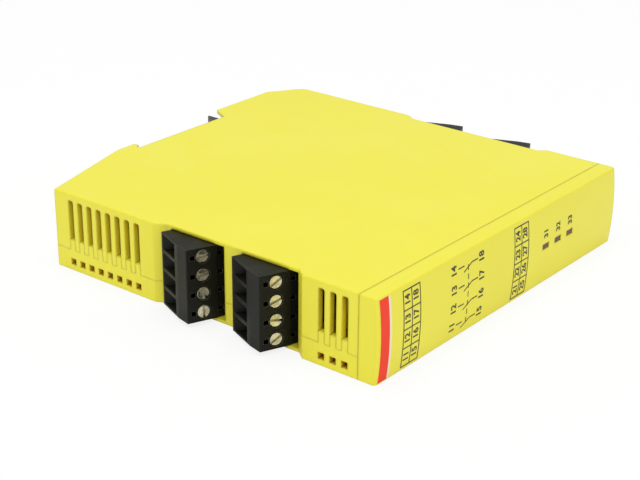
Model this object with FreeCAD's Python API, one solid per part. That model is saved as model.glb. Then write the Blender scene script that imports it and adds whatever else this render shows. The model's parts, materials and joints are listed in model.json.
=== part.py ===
"""Safety relay module, 22.5 mm wide, for a 35 mm top-hat rail.

The module lies on its narrow side face, as it would on a bench:
+X runs from the rail seat to the label face, Y runs along the 112 mm body and
+Z runs across the 22.5 mm width.  The origin is on the centre line of the rail
seat, in the side face that the module lies on.  All sizes are in millimetres.
"""
import FreeCAD
import Part
import math
import os

from FreeCAD import Vector

# --- housing ---------------------------------------------------------------
MODULE_WIDTH = 22.5        # across the rail pitch, along Z
BODY_LENGTH = 112.0        # along Y
FRONT_X = 114.8            # crown of the label face, from the rail seat
CAP_DEPTH = 6.0            # label cap, seam to crown
CAP_CROWN = 0.8            # how far the label face bulges
CAP_WALL = 1.5
CAP_CORNER = 0.8           # bevel of the cap's ends
CAP_SEAM_GAP = 0.15
TONGUE_REACH = 4.0         # snap tongues of the cap, inside the body
TONGUE_WIDTH = 10.0
TONGUE_PLAY = 0.1
SIDE_WALL = 1.8            # walls that carry the vents
FACE_WALL = 1.0            # the two large faces
EDGE_RADIUS = 0.35         # rounded edges of the large faces
PARTING_Z = 6.2            # lower shell meets upper shell
BAY_DEPTH = 1.9            # the terminal bays lie this far back
BAY_START = 42.7
BAY_RAMP = 3.3
BAY_END = 91.9
BAY_END_RAMP = 2.3

# --- foot and rail ---------------------------------------------------------
RAIL_WIDTH = 35.0
RAIL_FLANGE = 1.0
RAIL_PLAY = 0.5            # between rail edge and groove floor
HOOK_DEPTH = 3.6           # fixed hook, behind the rail seat
HOOK_LIP = 1.2             # how far the lip reaches over the groove
HOOK_GAP = 0.2             # groove width over the flange thickness
HOOK_LEAD = 0.9            # bevel of the lip
HOOK_REAR_Y = 23.4         # where the slanted back meets the fixed hook
SLANT_X = 5.7              # back corner of the slanted end
FOOT_DEPTH = 6.2           # latch foot, behind the rail seat
FOOT_FACE_Y = 18.3
FOOT_NOSE_Y = 21.5
FOOT_BEVEL = 0.6
FOOT_CORNER_Y = 45.5
FOOT_CORNER_X = 0.6
FOOT_CORNER_RADIUS = 4.0
HOOK_ROUND = 2.0           # outer corners of hook and foot
FOOT_ROUND = 3.0
NOTCH_MARGIN = 1.5         # the edges stay sharp this far round the rail notch

# --- latch -----------------------------------------------------------------
LATCH_PLAY = 0.1           # latch to its channel, each side
LATCH_TIP_Y = 15.6
LATCH_NOSE = 2.7           # nose thickness along the travel
LATCH_LEAD = 2.0           # height of the slanted lead-in
LATCH_ARM_LENGTH = 19.5
LATCH_ARM_WIDTH = 13.4
LATCH_TRAVEL = 3.0
LATCH_ROUND = 0.3          # eased edges of the nose
LATCH_TOE = 1.1            # flat part of the nose's tip
LATCH_SLOT = (1.6, 2.0, 4.4)       # screwdriver slot: deep, along the travel, wide
LATCH_SLOT_INSET = 2.0
LATCH_WINDOW = (7.0, 6.0)  # tool window of the foot: along the travel, wide
LATCH_WINDOW_PAST = 1.5    # how far the window reaches past the arm's end
GRIPS = 3
GRIP_START = 2.2
GRIP_PITCH = 2.4
GRIP_SIZE = (0.5, 1.0, 6.0)        # deep, along the travel, wide
CHANNEL_REAR_WALL = 1.4
CHANNEL_DEPTH = 3.4
CHANNEL_MOUTH = 4.0        # the nose's room reaches this far over the rail
SPRING_ROOM = 6.0
SPRING_THICK = 0.4
SPRING_WIDTH = 6.0
SPRING_WAVES = 3

# --- vents -----------------------------------------------------------------
VENT_PITCH = 3.54
VENT_WIDTH = 1.9
VENT_LOW = 9.2             # lower end of the long slots
VENT_MARGIN = 1.9          # upper end of the slots to the upper face
VENT_RADIUS = 0.55
VENT_FLATS = 2             # flats that ease each upper corner of a slot
REAR_VENT_X = 10.9
REAR_VENTS = 8
FRONT_VENT_INSET = 11.9    # first front slot to the cap's seam
FRONT_VENTS = 3
PORT_LOW = 1.8             # small square vents under the slots
PORT_HEIGHT = 1.8
FINGER_PLAY = 0.05

# --- pluggable terminals (a: screw axis, b: plug-in direction) -------------
POLES = 4
POLE_MARGIN = 2.18         # width of the module beyond its poles
PLUG_TILT = 22.5           # degrees from the Y axis
PLUG_PITCH = 23.9          # first plug to second, along X
PLUG_APEX_X = 59.6         # outermost corner of the first plug
PLUG_STANDOUT = {-1: 5.6, 1: 4.6}  # that corner beyond the top (-1) and bottom (1) side
PLUG_WIDTH_PLAY = 0.12     # total play of a plug in its row of pole pitches
PLUG_ROUND = 0.3
PLUG_HEIGHT = 13.85        # along the screw axis
PLUG_BROW = 0.6            # the wire face stands this far proud of the apex
PLUG_BROW_LENGTH = 4.2
PLUG_SHOULDER = 11.0       # depth of the plug outside its socket
PLUG_STEP = 8.3            # the screw face steps down here
PLUG_STEP_DEPTH = 0.4
PLUG_TIP = 17.0
TONGUE_INSET = 1.65
TONGUE_SIDE = 1.0
BAY_PLAY = 0.35            # plug to the opening of its bay
BAY_FRONT_GAP = 2.5        # finger room in front of the screw face
PLUG_TRAVEL = 12.0
CODE_POCKET_B = 9.3        # coding pockets, in the stepped end of the screw face
CODE_POCKET = (0.8, 1.3, 1.1)

FUNNEL_LENGTH = 7.4
FUNNEL_WIDTH = 4.2
FUNNEL_DEPTH = 2.6
FUNNEL_EDGE = 0.65         # rim left at the plug's rear edge
WIRE_LENGTH = 3.1
WIRE_WIDTH = 2.9
CHAMBER_WIDTH = 4.0
CHAMBER_DEPTH = 4.8
TEST_HOLE_B = 1.65
TEST_HOLE_SIZE = 1.3
TEST_HOLE_DEPTH = 3.0

SCREW_B = 4.5              # screw axis, from the apex
SCREW_SINK = 0.2
SCREW_HEAD_R = 1.75
SCREW_HEAD_H = 1.8
SCREW_HOLE_PLAY = 0.1
SCREW_R = 1.25             # M3 thread, modelled at its pitch radius
SCREW_FIT = 0.06
SCREW_REACH = 7.4          # tip below the screw face
SLOT_WIDTH = 0.65
SLOT_DEPTH = 0.9
SLOT_ANGLES = (5, 33, -81, -87, -59, 82, -71, -57)

CAGE_WIDTH = 3.7
CAGE_LENGTH = 4.4
CAGE_TOP = 6.3
CAGE_ROOF = 1.2
CAGE_OPENING = 3.7
CAGE_FLOOR = 1.0
CAGE_SIDE = 0.55
CAGE_TRAVEL = 2.4
CAGE_HEADROOM = 0.2        # raised cage to the roof of its chamber
CAGE_FOOTROOM = 0.5        # lowered cage to the floor of its chamber

STRIP_THICK = 0.6
STRIP_WIDTH = 2.0
STRIP_A = 7.65             # clamping face, below the screw face
STRIP_PLAY = 0.1

# --- headers and board -----------------------------------------------------
PIN_SIZE = 1.0
PIN_GAP = 0.25             # pin to contact strip
PIN_START = 12.0
SOCKET_MOUTH = 11.4
SOCKET_FLOOR = 17.4
SOCKET_BASE = 2.0
SOCKET_PLAY = 0.2
SOCKET_BACK_WALL = 1.0
LEG_START = 21.2
LEG_PITCH = 1.7
TAIL = 1.0                 # pin tail beyond the board
BOARD_Z = 5.2
BOARD_THICK = 1.6
BOARD_GAP = 0.4            # board to shell walls
PIN_HOLE_PLAY = 0.2
BOARD_FRONT_GAP = 4.5      # board to the cap's seam

POST_RADIUS = 3.0
POST_PIN_RADIUS = 1.5
POST_PIN_RISE = 2.4
POST_PLAY = 0.05
ROOT = 0.2                 # how far a fused part reaches into its wall
POST_INSET = 12.0          # post to the side of the body
POST_PLACES = ((12.0, -1), (16.0, 1), (98.0, -1), (98.0, 1))   # x, and the side

# --- parts on the board ----------------------------------------------------
RELAY_SIZE = (16.5, 40.0)
RELAY_HEADROOM = 2.1       # relay to the upper wall
RELAY_PLACES = ((24.0, 0.0), (72.0, 0.0))
RELAY_BASE = 1.4
RELAY_RIM = 0.4
RELAY_BEVEL = 0.6
CAPACITOR_RADIUS = 4.0
CAPACITOR_HEIGHT = 11.5
CAPACITOR_PLACES = ((46.0, -12.0), (46.0, 0.0), (46.0, 12.0))
COIL_RADIUS = 5.0
COIL_HEIGHT = 6.0
COIL_FLANGE = 1.2
COIL_PLACE = (97.0, 0.0)

LAMP_START = 18.25         # first status window
LAMP_PITCH = 6.2
LAMPS = 3
LAMP_LENGTH = 3.1
LAMP_HEIGHT = 1.4
LAMP_SINK = 0.2
LAMP_PLAY = 0.1
GUIDE_FOOT_INSET = 6.6     # foot of a light guide to the cap's seam
LED_SIZE = (2.0, 1.6, 1.2)
LED_GAP = 0.3

# --- flats that stand for small round shapes --------------------------------
ROD_FLAT_COUNT = 12
THREAD_FLAT_COUNT = 8

# --- values worked out from the above --------------------------------------
HALF = BODY_LENGTH / 2
SEAM_X = FRONT_X - CAP_DEPTH
GROOVE_Y = RAIL_WIDTH / 2 + RAIL_PLAY
GROOVE_X = RAIL_FLANGE + HOOK_GAP
MID_Z = MODULE_WIDTH / 2
LAMP_Y = [LAMP_START + LAMP_PITCH * k for k in range(LAMPS)]
POLE_PITCH = (MODULE_WIDTH - POLE_MARGIN) / POLES
FIRST_POLE_Z = MID_Z - POLE_PITCH * (POLES - 1) / 2
BOARD_TOP = BOARD_Z + BOARD_THICK
PLUG_WIDTH = POLES * POLE_PITCH - PLUG_WIDTH_PLAY
PLUG_LOW = MID_Z - PLUG_WIDTH / 2
VENT_HIGH = MODULE_WIDTH - VENT_MARGIN
FRONT_VENT_X = SEAM_X - FRONT_VENT_INSET
GUIDE_FOOT_X = SEAM_X - GUIDE_FOOT_INSET
POST_SPOTS = [(x, side * (HALF - POST_INSET)) for x, side in POST_PLACES]
RELAY_HEIGHT = MODULE_WIDTH - FACE_WALL - RELAY_HEADROOM - BOARD_TOP
CAGE_HEIGHT = CAGE_ROOF + CAGE_OPENING + CAGE_FLOOR
CHAMBER_TOP = CAGE_TOP - CAGE_TRAVEL - CAGE_HEADROOM
CHAMBER_FLOOR = CAGE_TOP + CAGE_HEIGHT + CAGE_FOOTROOM
CHANNEL_REAR_X = -FOOT_DEPTH + CHANNEL_REAR_WALL
LATCH_ARM_END = LATCH_TIP_Y + LATCH_NOSE + LATCH_ARM_LENGTH
PIN_A = STRIP_A - PIN_GAP - PIN_SIZE / 2


def box(low, high):
    """A box between two corners."""
    size = [h - l for l, h in zip(low, high)]
    return Part.makeBox(*size, Vector(*low))


def outline(points):
    """A closed flat wire; a point (x, y, r) gets a round corner."""
    edges = []
    last = None
    first = None
    count = len(points)
    for index, point in enumerate(points):
        corner = Vector(point[0], point[1], 0)
        radius = point[2] if len(point) > 2 else 0
        start = end = corner
        if radius:
            before = Vector(*points[index - 1][:2], 0) - corner
            after = Vector(*points[(index + 1) % count][:2], 0) - corner
            before.normalize()
            after.normalize()
            half = before.getAngle(after) / 2
            reach = radius / math.tan(half)
            start = corner + before * reach
            end = corner + after * reach
            middle = before + after
            middle.normalize()
            bulge = corner + middle * (radius / math.sin(half) - radius)
        if last is not None and (start - last).Length > 1e-6:
            edges.append(Part.makeLine(last, start))
        if radius:
            edges.append(Part.Arc(start, bulge, end).toShape())
        if first is None:
            first = start
        last = end
    edges.append(Part.makeLine(last, first))
    return Part.Wire(edges)


def prism(points, low, high):
    """The outline raised from z = low to z = high."""
    face = Part.Face(outline(points))
    face.translate(Vector(0, 0, low))
    return face.extrude(Vector(0, 0, high - low))


def rod(radius, low, high, x=0, y=0, fit=False, flats=ROD_FLAT_COUNT):
    """A small turned shape as a prism with flats, its corners on the radius.

    With fit, its flats lie on the radius instead, as for a hole round a shaft.
    """
    reach = radius / math.cos(math.pi / flats) if fit else radius
    turns = [2 * math.pi * k / flats for k in range(flats)]
    return prism([(x + reach * math.cos(t), y + reach * math.sin(t)) for t in turns], low, high)


def screw_rod(radius, low, high, pole, fit=False, flats=THREAD_FLAT_COUNT):
    """A rod on the screw axis of one pole, between two places along that axis."""
    shape = rod(radius, low, high, fit=fit, flats=flats)
    shape.rotate(Vector(), Vector(0, 1, 0), 90)
    shape.translate(Vector(0, SCREW_B, pole_z(pole)))
    return shape


def side_line(inset):
    """The long side of the body, with its set-back bay, as (x, |y|) points."""
    outer = HALF - inset
    back = outer - BAY_DEPTH
    return [(BAY_START, outer), (BAY_START + BAY_RAMP, back),
            (BAY_END - BAY_END_RAMP, back), (BAY_END, outer)]


def rounded_faces(body):
    """Round the long edges of the two large faces, clear of the rail notch."""
    edges = []
    for edge in body.Edges:
        box_ = edge.BoundBox
        on_face = box_.ZLength < 1e-6 and min(box_.ZMin, MODULE_WIDTH - box_.ZMin) < 1e-6
        in_notch = box_.YMin > -HOOK_REAR_Y - 1e-3 and box_.YMax < FOOT_NOSE_Y + NOTCH_MARGIN
        if on_face and not in_notch and box_.XMin < SEAM_X - 1e-3:
            edges.append(edge)
    return body.makeFillet(EDGE_RADIUS, edges)


def housing_body():
    """The solid outer form of the two shells, with hook and latch foot."""
    lip_y = -(GROOVE_Y - HOOK_LIP)
    points = [(SLANT_X, -HALF),
              (-HOOK_DEPTH, -HOOK_REAR_Y, HOOK_ROUND),
              (-HOOK_DEPTH, lip_y - HOOK_LEAD),
              (-HOOK_DEPTH + HOOK_LEAD, lip_y),
              (-GROOVE_X - HOOK_LEAD / 2, lip_y),
              (-GROOVE_X, lip_y - HOOK_LEAD / 2),
              (-GROOVE_X, -GROOVE_Y),
              (0, -GROOVE_Y),
              (0, FOOT_FACE_Y),
              (-FOOT_DEPTH + FOOT_BEVEL, FOOT_NOSE_Y - FOOT_BEVEL / 2),
              (-FOOT_DEPTH, FOOT_NOSE_Y + FOOT_BEVEL / 2),
              (-FOOT_DEPTH, FOOT_CORNER_Y, FOOT_ROUND),
              (FOOT_CORNER_X, HALF, FOOT_CORNER_RADIUS)]
    points += side_line(0)
    points += [(SEAM_X, HALF), (SEAM_X, -HALF)]
    points += [(x, -y) for x, y in reversed(side_line(0))]
    return rounded_faces(prism(points, 0, MODULE_WIDTH))


def cavity(inset, low, high, front):
    """The room inside the walls, or the board's outline when inset further."""
    side = HALF - inset
    slope = (SLANT_X + HOOK_DEPTH) / (HALF - HOOK_REAR_Y)
    slant_shift = inset * math.hypot(1, slope)
    corner_x = SLANT_X + slant_shift - inset * slope
    back_y = -side + (corner_x - inset) / slope
    points = [(corner_x, -side), (inset, back_y), (inset, side)]
    points += side_line(inset)
    points += [(front, side), (front, -side)]
    points += [(x, -y) for x, y in reversed(side_line(inset))]
    return prism(points, low, high)


def vent_starts():
    """Left edges of the vent slots of both groups."""
    rear = [REAR_VENT_X + VENT_PITCH * k for k in range(REAR_VENTS)]
    front = [FRONT_VENT_X + VENT_PITCH * k for k in range(FRONT_VENTS)]
    return rear + front


def vent_slot(x, low, radius):
    """One vent slot through both side walls, its upper corners eased by flats."""
    points = [(x, low), (x + VENT_WIDTH, low)]
    centres = ((x + VENT_WIDTH - radius, 0), (x + radius, math.pi / 2))
    for centre, start in centres:
        for k in range(VENT_FLATS + 1):
            turn = start + math.pi / 2 * k / VENT_FLATS
            points.append((centre + radius * math.cos(turn),
                           VENT_HIGH - radius + radius * math.sin(turn)))
    slot = prism(points, -HALF - 1, HALF + 1)
    slot.rotate(Vector(), Vector(1, 0, 0), 90)
    return slot


def vent_slots():
    """The long slots, open down to the parting line."""
    return [vent_slot(x, PARTING_Z - 1, VENT_RADIUS) for x in vent_starts()]


def vent_ports():
    """The small square vents in the lower shell."""
    return [box((x, -HALF - 1, PORT_LOW), (x + VENT_WIDTH, HALF + 1, PORT_LOW + PORT_HEIGHT))
            for x in vent_starts()]


def vent_fingers():
    """Fingers of the lower shell that close the slots below VENT_LOW."""
    fingers = []
    for x in vent_starts():
        for side in (-1, 1):
            outer, inner = side * HALF, side * (HALF - SIDE_WALL)
            fingers.append(box((x + FINGER_PLAY, min(outer, inner), PARTING_Z - 0.5),
                               (x + VENT_WIDTH - FINGER_PLAY, max(outer, inner), VENT_LOW)))
    return fingers


def latch_channel():
    """The room in the foot that the rail latch slides in, with its tool window."""
    end = LATCH_ARM_END + SPRING_ROOM
    wide = box((-FOOT_DEPTH - 1, FOOT_FACE_Y - CHANNEL_MOUTH, FACE_WALL),
               (-RAIL_FLANGE, FOOT_NOSE_Y + LATCH_TRAVEL, MODULE_WIDTH - FACE_WALL))
    half = LATCH_ARM_WIDTH / 2 + LATCH_PLAY
    arm = box((CHANNEL_REAR_X, FOOT_FACE_Y, MID_Z - half),
              (CHANNEL_REAR_X + CHANNEL_DEPTH, end, MID_Z + half))
    window_length, window_width = LATCH_WINDOW
    window_end = LATCH_ARM_END + LATCH_WINDOW_PAST
    window = box((-FOOT_DEPTH - 1, window_end - window_length, MID_Z - window_width / 2),
                 (CHANNEL_REAR_X + ROOT, window_end, MID_Z + window_width / 2))
    return wide.fuse([arm, window])


def place(shape, side, row):
    """Move a shape from the plug's own frame to plug (side, row)."""
    moved = shape.copy()
    moved.rotate(Vector(), Vector(0, 0, 1), -PLUG_TILT)
    moved.translate(Vector(PLUG_APEX_X + row * PLUG_PITCH, -HALF - PLUG_STANDOUT[side], 0))
    if side > 0:
        moved = moved.mirror(Vector(), Vector(0, 1, 0))
    return moved


def pole_z(pole):
    """Height of a pole's centre line."""
    return FIRST_POLE_Z + POLE_PITCH * pole


def plug_bays():
    """The four openings in the side walls that the plugs pass through."""
    opening = box((-PLUG_HEIGHT - BAY_PLAY, -PLUG_TRAVEL, FACE_WALL),
                  (BAY_FRONT_GAP, SOCKET_FLOOR, MODULE_WIDTH - FACE_WALL))
    return [place(opening, side, row) for side in (-1, 1) for row in (0, 1)]


def board_posts():
    """Posts of the lower shell: they carry the board and centre the shells."""
    posts = []
    for x, y in POST_SPOTS:
        base = rod(POST_RADIUS, FACE_WALL - ROOT, BOARD_Z, x, y)
        pin = rod(POST_PIN_RADIUS, BOARD_Z - ROOT, BOARD_TOP + POST_PIN_RISE, x, y)
        posts.append(base.fuse(pin))
    return posts


def board_sleeves():
    """Sleeves of the upper shell that press the board onto the posts."""
    sleeves = []
    for x, y in POST_SPOTS:
        sleeve = rod(POST_RADIUS, BOARD_TOP, MODULE_WIDTH - FACE_WALL + ROOT, x, y)
        bore = rod(POST_PIN_RADIUS + POST_PLAY, BOARD_TOP - 1, BOARD_TOP + POST_PIN_RISE + 1, x, y)
        sleeves.append(sleeve.cut(bore))
    return sleeves


def shells():
    """The lower and the upper shell."""
    hollow = cavity(SIDE_WALL, FACE_WALL, MODULE_WIDTH - FACE_WALL, SEAM_X + 1)
    body = housing_body().cut([hollow, latch_channel()] + plug_bays())
    below = box((-FOOT_DEPTH - 1, -HALF - 1, -1), (FRONT_X, HALF + 1, PARTING_Z))
    lower = body.common(below).cut(vent_ports())
    lower = lower.fuse(vent_fingers() + board_posts())
    upper = body.cut([below] + vent_slots())
    upper = upper.fuse(board_sleeves())
    return lower.removeSplitter(), upper.removeSplitter()


def cap_profile(inset):
    """Section of the label cap across the width, front face crowned."""
    low, high = inset, MODULE_WIDTH - inset
    back = SEAM_X + CAP_SEAM_GAP
    front = FRONT_X - inset
    edge = front - CAP_CROWN
    arc = Part.Arc(Vector(edge, 0, low), Vector(front, 0, MID_Z), Vector(edge, 0, high))
    lines = [Part.makeLine(Vector(edge, 0, high), Vector(back, 0, high)),
             Part.makeLine(Vector(back, 0, high), Vector(back, 0, low)),
             Part.makeLine(Vector(back, 0, low), Vector(edge, 0, low))]
    return Part.Face(Part.Wire([arc.toShape()] + lines))


def lamp_window(play, back, front, y):
    """The room of one lamp window, grown by a play."""
    return box((back, y - LAMP_LENGTH / 2 - play, MID_Z - LAMP_HEIGHT / 2 - play),
               (front, y + LAMP_LENGTH / 2 + play, MID_Z + LAMP_HEIGHT / 2 + play))


def front_cap():
    """The label cap: a crowned shell with four tongues that snap into the body."""
    block = cap_profile(0).extrude(Vector(0, BODY_LENGTH, 0))
    block.translate(Vector(0, -HALF, 0))
    corners = [edge for edge in block.Edges
               if edge.BoundBox.YLength < 1e-6 and edge.BoundBox.XMin > SEAM_X + 1
               and edge.BoundBox.ZLength > MODULE_WIDTH - 1]
    block = block.makeChamfer(CAP_CORNER, corners)
    rim = [edge for edge in block.Edges
           if edge.BoundBox.ZLength < 1e-6 and edge.BoundBox.XMax > SEAM_X + 1]
    block = block.makeFillet(EDGE_RADIUS, rim)
    hollow = cap_profile(CAP_WALL).extrude(Vector(0, BODY_LENGTH - 2 * CAP_WALL, 0))
    hollow.translate(Vector(0, -HALF + CAP_WALL, 0))
    cap = block.cut(hollow)
    for side in (-1, 1):
        outer = side * (HALF - SIDE_WALL - TONGUE_PLAY)
        inner = outer - side * CAP_WALL
        root = side * (HALF - CAP_WALL / 2)
        low, high = MID_Z - TONGUE_WIDTH / 2, MID_Z + TONGUE_WIDTH / 2
        tongue = box((SEAM_X - TONGUE_REACH, min(outer, inner), low),
                     (FRONT_X - CAP_CROWN - CAP_WALL, max(outer, inner), high))
        bridge = box((SEAM_X + CAP_SEAM_GAP, min(root, inner), low),
                     (FRONT_X - CAP_CROWN - CAP_WALL, max(root, inner), high))
        cap = cap.fuse([tongue, bridge])
    windows = [lamp_window(LAMP_PLAY, SEAM_X, FRONT_X + 1, y) for y in LAMP_Y]
    return cap.cut(windows).removeSplitter()


def rail_latch():
    """The sliding latch: wedge nose, arm and the slot for a screwdriver."""
    back = LATCH_TIP_Y + LATCH_NOSE
    front_x = -GROOVE_X
    rear_x = -FOOT_DEPTH
    nose = prism([(front_x, LATCH_TIP_Y, LATCH_ROUND), (front_x, back), (rear_x, back),
                  (rear_x, LATCH_TIP_Y + LATCH_LEAD, LATCH_ROUND),
                  (front_x - LATCH_TOE, LATCH_TIP_Y, LATCH_ROUND)],
                 FACE_WALL + LATCH_PLAY, MODULE_WIDTH - FACE_WALL - LATCH_PLAY)
    arm_rear = CHANNEL_REAR_X + LATCH_PLAY
    half = LATCH_ARM_WIDTH / 2
    arm = box((arm_rear, back - ROOT, MID_Z - half),
              (arm_rear + CHANNEL_DEPTH - 2 * LATCH_PLAY, LATCH_ARM_END, MID_Z + half))
    pockets = [(LATCH_ARM_END - LATCH_SLOT_INSET - LATCH_SLOT[1], LATCH_SLOT)]
    pockets += [(back + GRIP_START + GRIP_PITCH * k, GRIP_SIZE) for k in range(GRIPS)]
    cuts = [box((arm_rear - 1, start, MID_Z - wide / 2),
                (arm_rear + deep, start + long_y, MID_Z + wide / 2))
            for start, (deep, long_y, wide) in pockets]
    return nose.fuse(arm).cut(cuts).removeSplitter()


def latch_spring():
    """A wave of spring strip between the latch arm and the end of its channel."""
    step = (SPRING_ROOM - SPRING_THICK) / (2 * SPRING_WAVES)
    sides = (CHANNEL_REAR_X + 2 * LATCH_PLAY,
             CHANNEL_REAR_X + CHANNEL_DEPTH - 2 * LATCH_PLAY)
    low, high = MID_Z - SPRING_WIDTH / 2, MID_Z + SPRING_WIDTH / 2
    leaves = []
    for k in range(2 * SPRING_WAVES):
        x0, x1 = sides[k % 2], sides[(k + 1) % 2]
        y0 = LATCH_ARM_END + step * k
        y1 = y0 + step
        leaves.append(prism([(x0, y0), (x1, y1), (x1, y1 + SPRING_THICK),
                             (x0, y0 + SPRING_THICK)], low, high))
    return leaves[0].fuse(leaves[1:]).removeSplitter()


def funnel(pole):
    """The tapered wire entry of one pole."""
    z = pole_z(pole)
    mouth_rear = -PLUG_HEIGHT + FUNNEL_EDGE
    mid = -(CAGE_TOP + CAGE_ROOF + CAGE_OPENING / 2)
    rings = []
    for b, low, high, width in (
            (-PLUG_BROW, mouth_rear, mouth_rear + FUNNEL_LENGTH, FUNNEL_WIDTH),
            (-PLUG_BROW + FUNNEL_DEPTH, mid - WIRE_LENGTH / 2, mid + WIRE_LENGTH / 2,
             WIRE_WIDTH)):
        rings.append([Vector(low, b, z - width / 2), Vector(high, b, z - width / 2),
                      Vector(high, b, z + width / 2), Vector(low, b, z + width / 2)])
    mouth, throat = rings
    flats = [mouth, throat] + [[mouth[k - 1], mouth[k], throat[k], throat[k - 1]]
                               for k in range(len(mouth))]
    faces = [Part.Face(Part.makePolygon(flat + flat[:1])) for flat in flats]
    return Part.Solid(Part.Shell(faces))


def pole_cuts(pole):
    """Everything that is hollow in one pole of a plug."""
    z = pole_z(pole)
    half = CHAMBER_WIDTH / 2
    chamber_b = SCREW_B - CHAMBER_DEPTH / 2
    chamber = box((-CHAMBER_FLOOR, chamber_b, z - half),
                  (-CHAMBER_TOP, chamber_b + CHAMBER_DEPTH, z + half))
    head = screw_rod(SCREW_HEAD_R + SCREW_HOLE_PLAY, -SCREW_SINK - SCREW_HEAD_H - 0.05, 1,
                     pole, fit=True, flats=ROD_FLAT_COUNT)
    bore = screw_rod(SCREW_R + SCREW_FIT, -CHAMBER_TOP - 0.5, -SCREW_SINK, pole, fit=True)
    test = box((-TEST_HOLE_DEPTH, TEST_HOLE_B - TEST_HOLE_SIZE / 2, z - TEST_HOLE_SIZE / 2),
               (1, TEST_HOLE_B + TEST_HOLE_SIZE / 2, z + TEST_HOLE_SIZE / 2))
    strip_low = STRIP_A + STRIP_THICK
    slot = box((-strip_low, chamber_b + 1, z - STRIP_WIDTH / 2),
               (-PIN_A + PIN_SIZE / 2 + 0.3, PLUG_TIP + 1, z + STRIP_WIDTH / 2))
    deep, long_b, wide = CODE_POCKET
    code = box((-PLUG_STEP_DEPTH - deep, CODE_POCKET_B - long_b / 2, z - wide / 2),
               (1, CODE_POCKET_B + long_b / 2, z + wide / 2))
    return [chamber, head, bore, test, slot, code, funnel(pole)]


def plug_body():
    """The moulded body of a four-pole screw plug, in its own frame."""
    step = -PLUG_STEP_DEPTH
    inner, outer = -TONGUE_INSET, -PLUG_HEIGHT + TONGUE_INSET
    block = prism([(-PLUG_HEIGHT, -PLUG_BROW), (-PLUG_BROW_LENGTH, -PLUG_BROW),
                   (0, 0, PLUG_ROUND), (0, PLUG_STEP), (step, PLUG_STEP),
                   (step, PLUG_SHOULDER), (-PLUG_HEIGHT, PLUG_SHOULDER)],
                  PLUG_LOW, PLUG_LOW + PLUG_WIDTH)
    tongue = box((outer, PLUG_SHOULDER - 0.5, PLUG_LOW + TONGUE_SIDE),
                 (inner, PLUG_TIP, PLUG_LOW + PLUG_WIDTH - TONGUE_SIDE))
    cuts = []
    for pole in range(POLES):
        cuts += pole_cuts(pole)
    return block.fuse(tongue).cut(cuts).removeSplitter()


def clamp_screw(pole, slot_angle):
    """A slotted captive screw; its axis points out of the plug along +a."""
    z = pole_z(pole)
    base = Vector(-SCREW_SINK - SCREW_HEAD_H, SCREW_B, z)
    out = Vector(1, 0, 0)
    head = Part.makeCylinder(SCREW_HEAD_R, SCREW_HEAD_H, base, out)
    shank = screw_rod(SCREW_R, -SCREW_REACH, base.x + ROOT, pole)
    slot = box((-SCREW_SINK - SLOT_DEPTH, SCREW_B - SLOT_WIDTH / 2, z - SCREW_HEAD_R - 1),
               (1, SCREW_B + SLOT_WIDTH / 2, z + SCREW_HEAD_R + 1))
    slot.rotate(base, out, slot_angle)
    return head.fuse(shank).cut(slot).removeSplitter()


def clamp_cage(pole):
    """The rising cage that lifts a wire against the contact strip."""
    z = pole_z(pole)
    low_b = SCREW_B - CAGE_LENGTH / 2
    cage = box((-CAGE_TOP - CAGE_HEIGHT, low_b, z - CAGE_WIDTH / 2),
               (-CAGE_TOP, low_b + CAGE_LENGTH, z + CAGE_WIDTH / 2))
    opening = box((-CAGE_TOP - CAGE_ROOF - CAGE_OPENING, low_b - 1,
                   z - CAGE_WIDTH / 2 + CAGE_SIDE),
                  (-CAGE_TOP - CAGE_ROOF, low_b + CAGE_LENGTH + 1,
                   z + CAGE_WIDTH / 2 - CAGE_SIDE))
    thread = screw_rod(SCREW_R + SCREW_FIT, -CAGE_TOP - CAGE_ROOF - 0.5, -CAGE_TOP + 0.5,
                       pole, fit=True)
    return cage.cut([opening, thread])


def contact_strips():
    """The four contact strips of a plug, one per pole."""
    start = SCREW_B - CHAMBER_DEPTH / 2 + STRIP_PLAY
    strips = []
    for pole in range(POLES):
        z = pole_z(pole)
        half = STRIP_WIDTH / 2 - STRIP_PLAY
        strips.append(box((-STRIP_A - STRIP_THICK, start, z - half),
                          (-STRIP_A, PLUG_TIP - 1, z + half)))
    return Part.makeCompound(strips)


def header_pin(pole):
    """One bent pin: out to the plug, back and down to the board."""
    z = pole_z(pole)
    half = PIN_SIZE / 2
    leg = LEG_START + LEG_PITCH * pole
    blade = box((-PIN_A - half, PIN_START, z - half), (-PIN_A + half, leg + half, z + half))
    tip_low, tip_high = BOARD_Z - TAIL, BOARD_TOP + TAIL
    low, high = (tip_low, z + half) if z > BOARD_TOP else (z - half, tip_high)
    drop = box((-PIN_A - half, leg - half, low), (-PIN_A + half, leg + half, high))
    return blade.fuse(drop).removeSplitter()


def header_body():
    """The socket on the board that the plug slides into."""
    play = SOCKET_PLAY
    shell = box((-PLUG_HEIGHT + TONGUE_INSET - play - SOCKET_BACK_WALL, SOCKET_MOUTH,
                 PLUG_LOW), (BAY_FRONT_GAP - play, SOCKET_FLOOR + SOCKET_BASE,
                             PLUG_LOW + PLUG_WIDTH))
    room = box((-PLUG_HEIGHT + TONGUE_INSET - play, SOCKET_MOUTH - 1,
                PLUG_LOW + TONGUE_SIDE - play),
               (-TONGUE_INSET + play, SOCKET_FLOOR, PLUG_LOW + PLUG_WIDTH - TONGUE_SIDE + play))
    return shell.cut([room] + [header_pin(pole) for pole in range(POLES)])


def header_cutout():
    """The notch in the board that a header hangs in."""
    return box((-PLUG_HEIGHT - BAY_PLAY, -PLUG_TRAVEL, 0),
               (BAY_FRONT_GAP + PIN_HOLE_PLAY, SOCKET_FLOOR + SOCKET_BASE + PIN_HOLE_PLAY,
                MODULE_WIDTH))


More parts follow.
